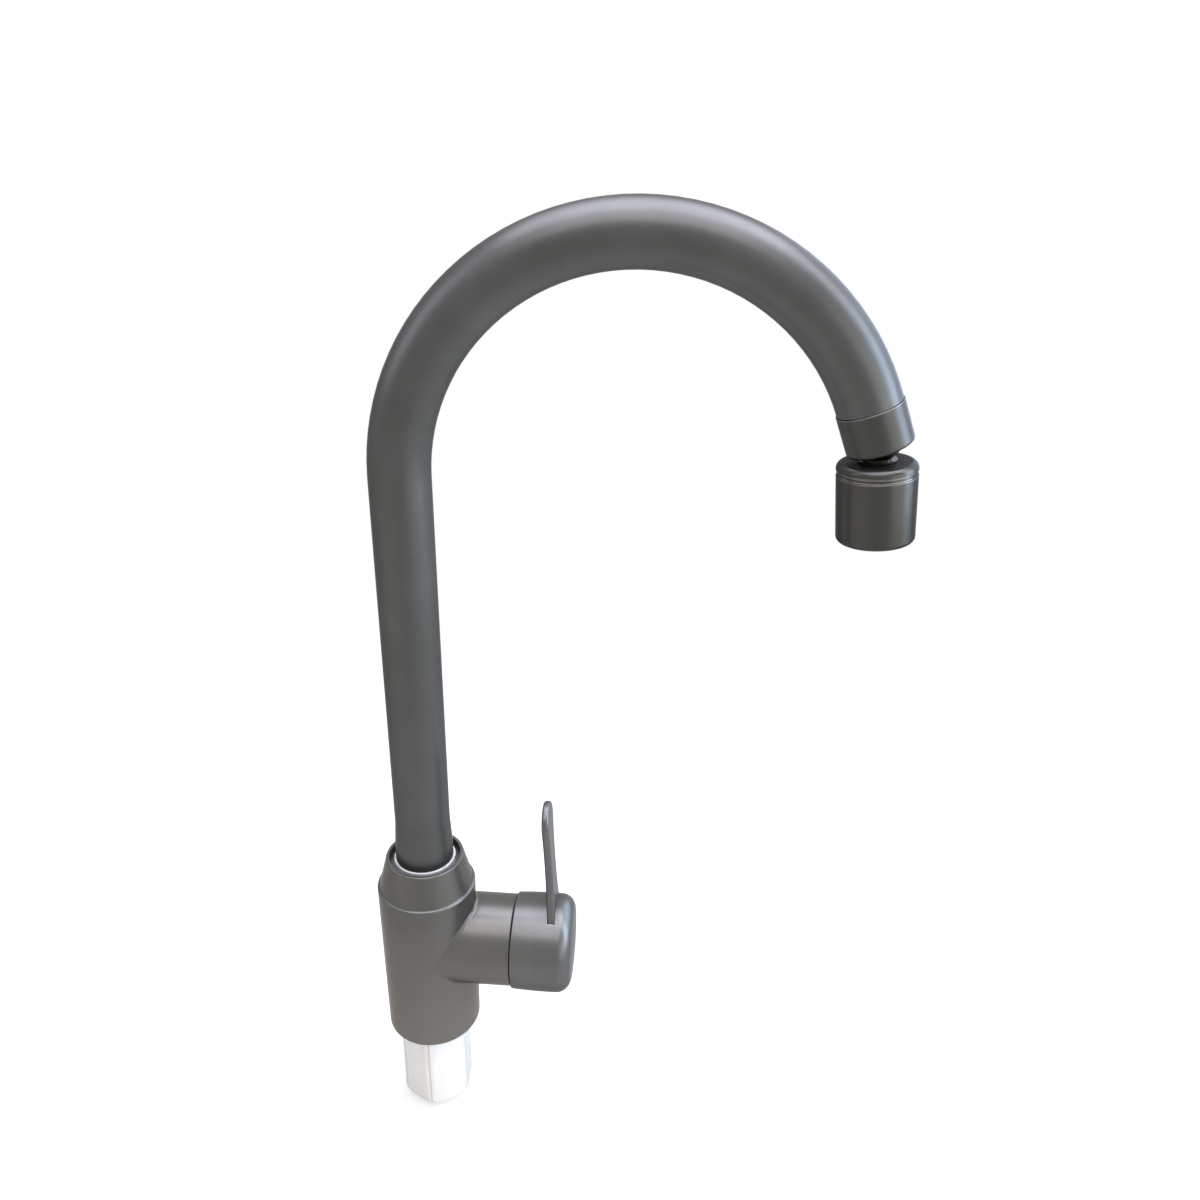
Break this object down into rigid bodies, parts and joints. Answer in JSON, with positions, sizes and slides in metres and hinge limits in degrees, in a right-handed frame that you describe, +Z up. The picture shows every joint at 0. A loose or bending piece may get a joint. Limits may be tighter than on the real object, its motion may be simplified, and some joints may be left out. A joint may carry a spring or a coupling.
{
  "type": "single-lever kitchen tap",
  "caption": "Deck-mounted gooseneck kitchen tap in graphite paint, with a side valve cap and upright lever, a swivel spout and a tilting ball-jointed outlet head.",
  "frame": {"origin": "centre of the body's base face, where it stands on the deck, on the axis of the riser and the shank", "axes": "+Z up along the riser; +X to the tap's own left as the user faces it, along the valve neck and the rest direction of the spout; -Y towards the front"},
  "size_m": [0.2247, 0.046, 0.4384],
  "materials": {
    "graphite_paint": "satin graphite-grey powder paint with a fine grain, on brass",
    "black_nickel": "dark nickel plate on brass",
    "brass": "machined, unplated",
    "steel": "plain stainless steel",
    "white_nylon": "glossy white moulded plastic, slightly translucent",
    "white_acetal": "natural acetal",
    "grey_plastic": "grey moulded plastic",
    "graphite_plastic": "graphite-grey moulded plastic",
    "ceramic": "fine ceramic, lapped",
    "grey_rubber": "grey sealing rubber",
    "black_rubber": "black sealing rubber"
  },
  "bodies": {
    "tap": {"tap_body": "graphite_paint", "threaded_shank": "brass", "sleeve_nut": "white_nylon", "deck_gasket": "grey_rubber", "inlet_washer": "black_rubber", "collar_bush": "white_acetal", "retaining_screw": "steel", "slip_ring": "white_acetal", "valve_body": "brass", "valve_washer": "white_acetal", "valve_seat_seal": "black_rubber", "valve_fixed_disc": "ceramic"},
    "handle": {"handle_cap": "graphite_paint", "lever": "graphite_paint", "lever_pin": "steel", "handle_screw": "steel", "handle_plug": "graphite_plastic", "valve_spindle": "brass", "valve_moving_disc": "ceramic", "spindle_o_rings": "black_rubber", "spindle_clip": "steel"},
    "spout": {"spout_tube": "graphite_paint", "spout_spigot": "brass", "spout_o_rings": "black_rubber", "spout_end_bush": "brass", "spout_ferrule": "graphite_paint"},
    "ball_ring": {"ball_seat": "white_acetal"},
    "head": {"ball_stem": "black_nickel", "head_cap": "graphite_paint", "stem_washer": "black_rubber", "stem_nut": "brass", "head_shell": "graphite_paint", "aerator_washer": "black_rubber", "aerator_housing": "grey_plastic", "mixing_plate": "grey_plastic", "aerator_screens": "steel", "screen_spacers": "grey_plastic", "aerator_grille": "grey_plastic"}
  },
  "joints": [
    {"name": "spout_swivel", "type": "hinge", "parent": "tap", "child": "spout", "pos_m": [0, 0, 0.09], "axis": [0, 0, 1], "continuous": true},
    {"name": "handle_turn", "type": "hinge", "parent": "tap", "child": "handle", "pos_m": [0, 0, 0.0506], "axis": [1, 0, 0], "range_deg": [0, 90]},
    {"name": "head_swivel", "type": "hinge", "parent": "spout", "child": "ball_ring", "pos_m": [0.18287, 0, 0.30555], "axis": [0.3697, 0, -0.9291], "continuous": true},
    {"name": "head_tilt", "type": "hinge", "parent": "ball_ring", "child": "head", "pos_m": [0.18287, 0, 0.30555], "axis": [0, -1, 0], "range_deg": [-6, 38]}
  ]
}
